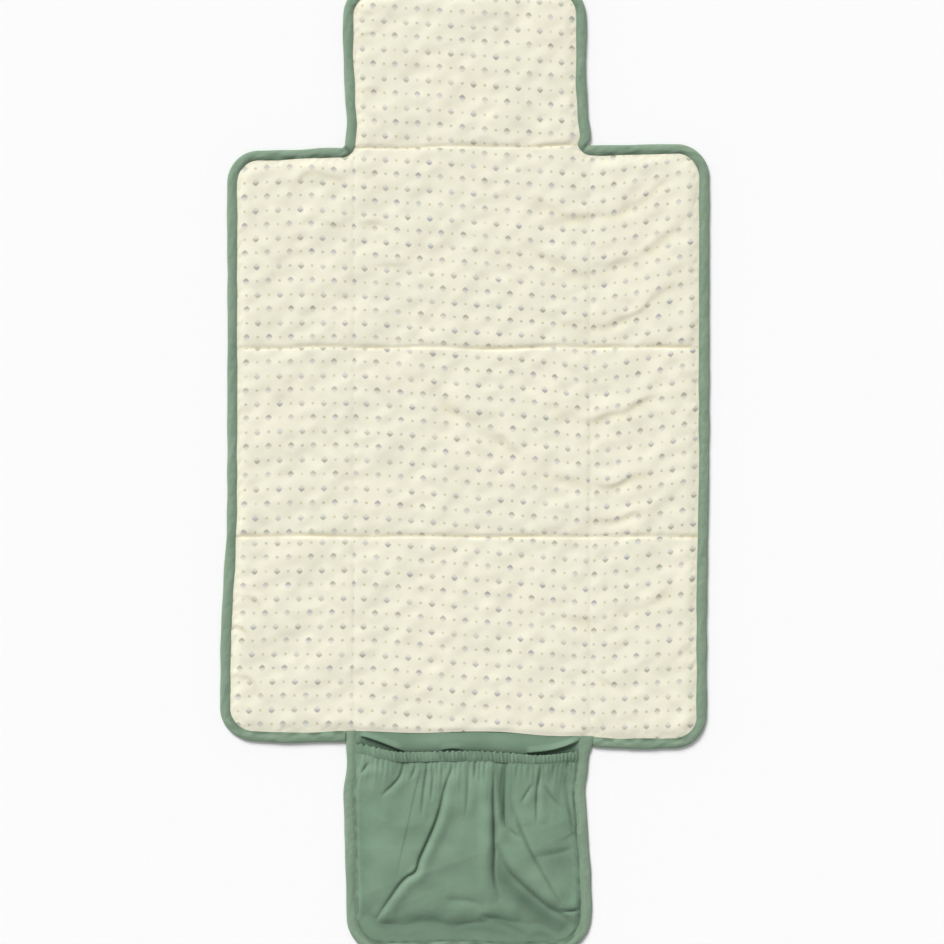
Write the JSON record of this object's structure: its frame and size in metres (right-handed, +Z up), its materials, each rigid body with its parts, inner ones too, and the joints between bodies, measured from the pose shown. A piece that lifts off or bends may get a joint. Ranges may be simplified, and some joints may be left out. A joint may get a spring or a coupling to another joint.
{
  "type": "folding baby changing pad",
  "caption": "Padded travel changing mat with printed top, green bias-bound edge, head flap and gathered elastic nappy pocket; wings and rows fold into a clutch.",
  "frame": {"origin": "centre of the whole open pad's outline, on the surface that it lies on", "axes": "+X across the pad to the right, +Y along the pad to the head flap, +Z up out of the printed side"},
  "size_m": [0.474, 0.949, 0.0143],
  "materials": {
    "printed_cotton": "matt printed cotton, cream with small grey-green buds",
    "green_cotton": "matt plain-weave cotton, sage green",
    "binding_tape": "folded cotton bias tape, sage green",
    "wadding": "white needled polyester wadding",
    "elastic": "white woven elastic"
  },
  "bodies": {
    "middle_centre": {"backing_middle_centre": "green_cotton", "wadding_middle_centre": "wadding", "cover_middle_centre": "printed_cotton"},
    "upper_left": {"backing_upper_left": "green_cotton", "wadding_upper_left": "wadding", "cover_upper_left": "printed_cotton", "binding_upper_left": "binding_tape"},
    "upper_centre": {"backing_upper_centre": "green_cotton", "wadding_upper_centre": "wadding", "cover_upper_centre": "printed_cotton", "binding_corner_left": "binding_tape", "binding_corner_right": "binding_tape"},
    "upper_right": {"backing_upper_right": "green_cotton", "wadding_upper_right": "wadding", "cover_upper_right": "printed_cotton", "binding_upper_right": "binding_tape"},
    "middle_left": {"backing_middle_left": "green_cotton", "wadding_middle_left": "wadding", "cover_middle_left": "printed_cotton", "binding_middle_left": "binding_tape"},
    "middle_right": {"backing_middle_right": "green_cotton", "wadding_middle_right": "wadding", "cover_middle_right": "printed_cotton", "binding_middle_right": "binding_tape"},
    "lower_left": {"backing_lower_left": "green_cotton", "wadding_lower_left": "wadding", "cover_lower_left": "printed_cotton", "binding_lower_left": "binding_tape"},
    "lower_centre": {"backing_lower_centre": "green_cotton", "wadding_lower_centre": "wadding", "cover_lower_centre": "printed_cotton"},
    "lower_right": {"backing_lower_right": "green_cotton", "wadding_lower_right": "wadding", "cover_lower_right": "printed_cotton", "binding_lower_right": "binding_tape"},
    "head_flap": {"backing_head": "green_cotton", "wadding_head": "wadding", "cover_head": "printed_cotton", "binding_head": "binding_tape"},
    "pocket_flap": {"flap_backing": "green_cotton", "flap_lining": "green_cotton", "binding_pocket_flap": "binding_tape", "pocket_panel": "green_cotton", "elastic_casing": "green_cotton", "elastic_band": "elastic"}
  },
  "joints": [
    {"name": "upper_row_fold", "type": "hinge", "parent": "middle_centre", "child": "upper_centre", "pos_m": [0, 0.1185, 0.0125], "axis": [1, 0, 0], "range_deg": [0, 179.9]},
    {"name": "lower_row_fold", "type": "hinge", "parent": "middle_centre", "child": "lower_centre", "pos_m": [0, -0.0665, 0.01775], "axis": [-1, 0, 0], "range_deg": [0, 179.9]},
    {"name": "head_fold", "type": "hinge", "parent": "upper_centre", "child": "head_flap", "pos_m": [0, 0.3135, 0.00725], "axis": [1, 0, 0], "range_deg": [0, 179.9]},
    {"name": "pocket_fold", "type": "hinge", "parent": "lower_centre", "child": "pocket_flap", "pos_m": [0, -0.26, -0.0003], "axis": [1, 0, 0], "range_deg": [0, 179.9]},
    {"name": "left_wing_fold", "type": "hinge", "parent": "middle_centre", "child": "middle_left", "pos_m": [-0.119, 0.026, 0.00475], "axis": [0, 1, 0], "range_deg": [0, 179.9]},
    {"name": "upper_left_wing_fold", "type": "hinge", "parent": "upper_centre", "child": "upper_left", "pos_m": [-0.119, 0.216, 0.00475], "axis": [0, 1, 0], "range_deg": [0, 179.9]},
    {"name": "lower_left_wing_fold", "type": "hinge", "parent": "lower_centre", "child": "lower_left", "pos_m": [-0.119, -0.16825, 0.00475], "axis": [0, 1, 0], "range_deg": [0, 179.9]},
    {"name": "right_wing_fold", "type": "hinge", "parent": "middle_centre", "child": "middle_right", "pos_m": [0.119, 0.026, 0.00475], "axis": [0, -1, 0], "range_deg": [0, 179.9]},
    {"name": "upper_right_wing_fold", "type": "hinge", "parent": "upper_centre", "child": "upper_right", "pos_m": [0.119, 0.216, 0.00475], "axis": [0, -1, 0], "range_deg": [0, 179.9]},
    {"name": "lower_right_wing_fold", "type": "hinge", "parent": "lower_centre", "child": "lower_right", "pos_m": [0.119, -0.16825, 0.00475], "axis": [0, -1, 0], "range_deg": [0, 179.9]}
  ],
  "couplings": [
    {"joint": "upper_left_wing_fold", "follows": "left_wing_fold", "ratio": 1},
    {"joint": "lower_left_wing_fold", "follows": "left_wing_fold", "ratio": 1},
    {"joint": "upper_right_wing_fold", "follows": "right_wing_fold", "ratio": 1},
    {"joint": "lower_right_wing_fold", "follows": "right_wing_fold", "ratio": 1}
  ]
}
